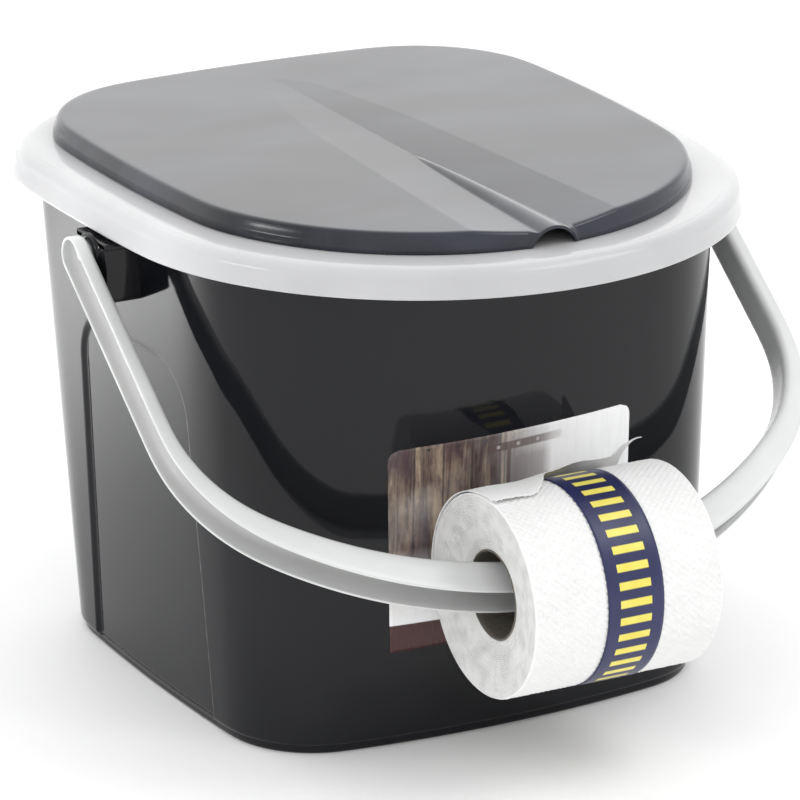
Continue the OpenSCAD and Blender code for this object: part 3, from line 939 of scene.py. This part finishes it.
def waves(seed, turn, count=6):
    """A smooth closed wobble round the roll, from -1 to 1."""
    rng = np.random.default_rng(seed)
    total = sum(rng.normal() / (k + 1) * np.cos((k + 1) * turn + rng.uniform(0, 6.3))
                for k in range(count))
    return total / np.abs(total).max()


def roll():
    """The winding: a slipped left end, the embossed side and the right end."""
    columns = ROLL_COLUMNS
    turn = np.linspace(0, 2 * math.pi, columns, endpoint=False)
    outline_left, outline_right = waves(3, turn), waves(5, turn)
    rings = []
    for k, radius in enumerate(np.linspace(CORE_RADIUS, ROLL_RADIUS - 1.4, END_RINGS)):
        share = (radius - CORE_RADIUS) / (ROLL_RADIUS - CORE_RADIUS)
        swell = 0.35 * waves(20 + k // 5, turn) + 0.12 * waves(80 + k, turn, 20)
        slipped = ROLL_X0 + 0.6 + SLIP * (1 - share) ** 1.3
        rings.append(about_axis(slipped - swell * 0.9, radius + 0.5 * share * outline_left, turn))
    for inset, drop in ((0.35, 0.85), (0.8, 0.4), (1.4, 0.12)):
        radius = ROLL_RADIUS - drop + 0.5 * outline_left
        rings.append(about_axis(np.full(columns, ROLL_X0 + inset), radius, turn))
    for x in np.arange(ROLL_X0 + 2.2, ROLL_X1 - 2.0, 0.72):
        share = (x - ROLL_X0) / (ROLL_X1 - ROLL_X0)
        wobble = 0.5 * ((1 - share) * outline_left + share * outline_right)
        run = turn * ROLL_RADIUS
        dots = np.cos(2 * math.pi * run / EMBOSS_ROUND) * np.cos(2 * math.pi * x / EMBOSS_LONG)
        dots += 0.3 * np.cos(2 * math.pi * run / 2.3 + 1.7 * np.sin(x))
        radius = ROLL_RADIUS - 0.35 + wobble + 0.42 * dots + 0.05 * RNG.normal(size=columns)
        rings.append(about_axis(np.full(columns, x), radius, turn))
    for inset, drop in ((1.4, 0.12), (0.8, 0.4), (0.35, 0.85)):
        radius = ROLL_RADIUS - drop + 0.5 * outline_right
        rings.append(about_axis(np.full(columns, ROLL_X1 - inset), radius, turn))
    side_end = len(rings)
    for k, radius in enumerate(np.linspace(ROLL_RADIUS - 1.4, CORE_RADIUS, END_RINGS)):
        share = (radius - CORE_RADIUS) / (ROLL_RADIUS - CORE_RADIUS)
        swell = 0.35 * waves(40 + k // 5, turn) + 0.12 * waves(140 + k, turn, 20)
        slipped = ROLL_X1 - 0.6 + SLIP * (1 - share) ** 1.3
        rings.append(about_axis(slipped + swell * 0.9, radius + 0.5 * share * outline_right, turn))
    paper = loft("roll_winding", rings, "paper", "roll", loop=True, stands_for=("roll_paper",),
                 material=PAPER)
    paper.data.materials.append(PAPER_END)
    ends = np.zeros(len(rings) * columns, int)
    ends[: END_RINGS * columns] = 1
    ends[(side_end - 1) * columns:] = 1
    paper.data.polygons.foreach_set("material_index", ends[: len(paper.data.polygons)])


def core():
    """The cardboard tube, slipped along the roll with the inner turns of paper."""
    columns = 160
    turn = np.linspace(0, 2 * math.pi, columns, endpoint=False)
    outer, inner = CORE_RADIUS - 0.02, CORE_RADIUS - 0.9
    profile = [(ROLL_X0 + 3, outer), (ROLL_X0 + 0.3, outer), (ROLL_X0 + 0.05, outer - 0.3),
               (ROLL_X0 + 0.05, inner + 0.3), (ROLL_X0 + 0.3, inner)]
    profile += [(x, inner) for x in np.linspace(ROLL_X0 + 3, ROLL_X1 - 3, 24)]
    profile += [(ROLL_X1 - 0.3, inner), (ROLL_X1 - 0.05, inner + 0.3), (ROLL_X1 - 0.05, outer - 0.3),
                (ROLL_X1 - 0.3, outer), (ROLL_X1 - 3, outer)]
    out = 0.12 * waves(9, turn)
    rings = [about_axis(np.full(columns, x + SLIP), radius + out, turn) for x, radius in profile]
    loft("core_tube", rings, "core", "roll", loop=True, flip=True, stands_for=("roll_core",),
         material=core_material())


def band():
    """The wrapper, which follows the winding's wobble."""
    lo, hi = cad("roll_band")
    turn = np.linspace(0, 2 * math.pi, ROLL_COLUMNS, endpoint=False)
    left, right = waves(3, turn), waves(5, turn)
    rings = []
    xs = np.linspace(lo[0], hi[0], 24)
    for lift, line in ((0.05, xs), (0.32, xs[::-1])):
        for x in line:
            share = (x - ROLL_X0) / (ROLL_X1 - ROLL_X0)
            wobble = 0.5 * ((1 - share) * left + share * right)
            rings.append(about_axis(np.full(ROLL_COLUMNS, x), ROLL_RADIUS + lift + wobble, turn))
    loft("wrapper_band", rings, "band", "roll", loop=True, flip=True, stands_for=("roll_band",),
         material=band_material((lo[0] + hi[0]) / 2, hi[0] - lo[0]))


def tail():
    """The loose end of the paper: flat on the roll at the left, lifted and torn at the right."""
    columns, rows = 150, 90
    xs = np.linspace(ROLL_X0 + 0.4, ROLL_X0 + 99, columns)
    share = (xs - xs[0]) / (xs[-1] - xs[0])
    rip = 0.6 * waves(31, share * 40, 12) + 0.3 * waves(33, share * 90, 24)
    hem = 9 - 37 * smooth(share, 0.22, 0.55) + 10 * smooth(share, 0.9, 1.0)
    free = np.radians(hem) + rip / ROLL_RADIUS
    rise = 3.5 * smooth(share, 0.30, 0.75) + 6.0 * smooth(share, 0.84, 1.0) ** 1.5
    back = math.radians(-118)
    sheets = []
    for thick in (0.0, 0.35):
        sheet = []
        for t in np.linspace(0, 1, rows):
            turn = back + (free - back) * t
            lift = 0.45 + thick + 0.5 * smooth(t, 0.85, 1.0) + rise * smooth(t, 0.35, 1.0) ** 1.6
            dots = 0.12 * np.cos(2 * math.pi * turn * ROLL_RADIUS / 3.1) * np.cos(2 * math.pi * xs / 3.3)
            crumple = 0.35 * np.sin(xs * 0.21 + 4 * t) * smooth(t, 0.5, 1)
            shift = -0.9 * smooth(t, 0.2, 1) * (1 - share)
            sheet.append(about_axis(xs + shift, ROLL_RADIUS + 0.4 + lift + dots + crumple, turn))
        sheets.append(np.array(sheet))
    points = np.array(sheets).reshape(-1, 3)
    mesh("loose_sheet", points, sheet_faces(rows, columns), "paper", "roll", ("roll_tail",), PAPER)


# ------------------------------------------------------------------ studio


VIEW_TARGET = Vector((0, -0.01648, 0.13632))
VIEW_DISTANCE = 2.74765
VIEW_AZIMUTH = math.radians(29.0582)
VIEW_DROP = math.radians(19.1985)
VIEW_ROLL = math.radians(0.3361)


def camera():
    """A long lens in front of the object, to the left of it and above, with a touch of roll."""
    level = Vector((math.cos(VIEW_AZIMUTH), -math.sin(VIEW_AZIMUTH), 0))
    ahead = Vector((math.sin(VIEW_AZIMUTH), math.cos(VIEW_AZIMUTH), 0)) * math.cos(VIEW_DROP)
    ahead.z = -math.sin(VIEW_DROP)
    upright = level.cross(ahead)
    right = level * math.cos(VIEW_ROLL) + upright * math.sin(VIEW_ROLL)
    up = upright * math.cos(VIEW_ROLL) - level * math.sin(VIEW_ROLL)
    place = VIEW_TARGET - ahead * VIEW_DISTANCE
    data = bpy.data.cameras.new("camera")
    data.sensor_width = 36
    data.lens = 243.24
    data.clip_start, data.clip_end = 0.1, 60
    obj = bpy.data.objects.new("camera", data)
    bpy.context.scene.collection.objects.link(obj)
    rows = [[right[k], up[k], -ahead[k], place[k]] for k in range(3)]
    obj.matrix_world = Matrix(rows + [[0, 0, 0, 1]])
    bpy.context.scene.camera = obj


def panel_light(name, place, target, size, power, spread=180):
    """A rectangular lamp at place that faces target; sizes in metres, power in watts."""
    data = bpy.data.lights.new(name, "AREA")
    data.shape = "RECTANGLE"
    data.size, data.size_y = size
    data.energy = power
    data.spread = math.radians(spread)
    obj = bpy.data.objects.new(name, data)
    bpy.context.scene.collection.objects.link(obj)
    obj.location = place
    obj.rotation_mode = "QUATERNION"
    obj.rotation_quaternion = (Vector(target) - Vector(place)).to_track_quat("-Z", "Y")


# The direction in which the studio's pale surround is brightest, behind the object.
BACKDROP = (-0.15, 0.98, 0.12)
FLOOR_REACH = 14.0


def studio():
    data = bpy.data.meshes.new("floor")
    corners = [(x * FLOOR_REACH, y * FLOOR_REACH, 0) for x, y in ((-1, -1), (1, -1), (1, 1), (-1, 1))]
    data.from_pydata(corners, [], [(0, 1, 2, 3)])
    floor = bpy.data.objects.new("floor", data)
    bpy.context.scene.collection.objects.link(floor)
    s = Shader("floor_paint")
    s.set(Base_Color=s.mix(s.span(s.noise(2, 3), 0.3, 0.7), (0.96, 0.96, 0.96), (0.98, 0.98, 0.98)),
          Roughness=s.span(s.noise(5, 3), 0.3, 0.7, 0.6, 0.7))
    s.bsdf.inputs["Specular IOR Level"].default_value = 0.2
    data.materials.append(s.material)
    world = bpy.data.worlds.new("studio")
    bpy.context.scene.world = world
    world.use_nodes = True
    tree = world.node_tree
    sky = tree.nodes["Background"]
    where = tree.nodes.new("ShaderNodeTexCoord").outputs["Generated"]
    towards = tree.nodes.new("ShaderNodeVectorMath")
    towards.operation = "DOT_PRODUCT"
    towards.inputs[1].default_value = BACKDROP
    tree.links.new(where, towards.inputs[0])
    glow = tree.nodes.new("ShaderNodeMapRange")
    glow.interpolation_type = "SMOOTHSTEP"
    for key, number in (("From Min", 0.15), ("From Max", 0.85), ("To Min", 1.0), ("To Max", 1.85)):
        glow.inputs[key].default_value = number
    tree.links.new(towards.outputs["Value"], glow.inputs["Value"])
    tree.links.new(glow.outputs["Result"], sky.inputs["Strength"])
    sky.inputs["Color"].default_value = (1, 1, 1, 1)
    panel_light("side_glow", (-0.66, 0.62, 0.55), (-0.62, 0.58, 0), (0.5, 0.5), 4.5, 70)
    panel_light("key", (1.2, -1.0, 2.1), (0, 0, 0.15), (1.4, 1.0), 13)
    panel_light("strip", (-1.9, -0.12, 0.78), (-0.13, -0.1, 0.26), (0.6, 0.09), 4.5)
    bpy.context.scene.view_settings.view_transform = "Standard"


camera()
studio()
bucket()
bearings()
label()
seat()
lid()
lid_rib()
bail()
roll()
core()
band()
tail()
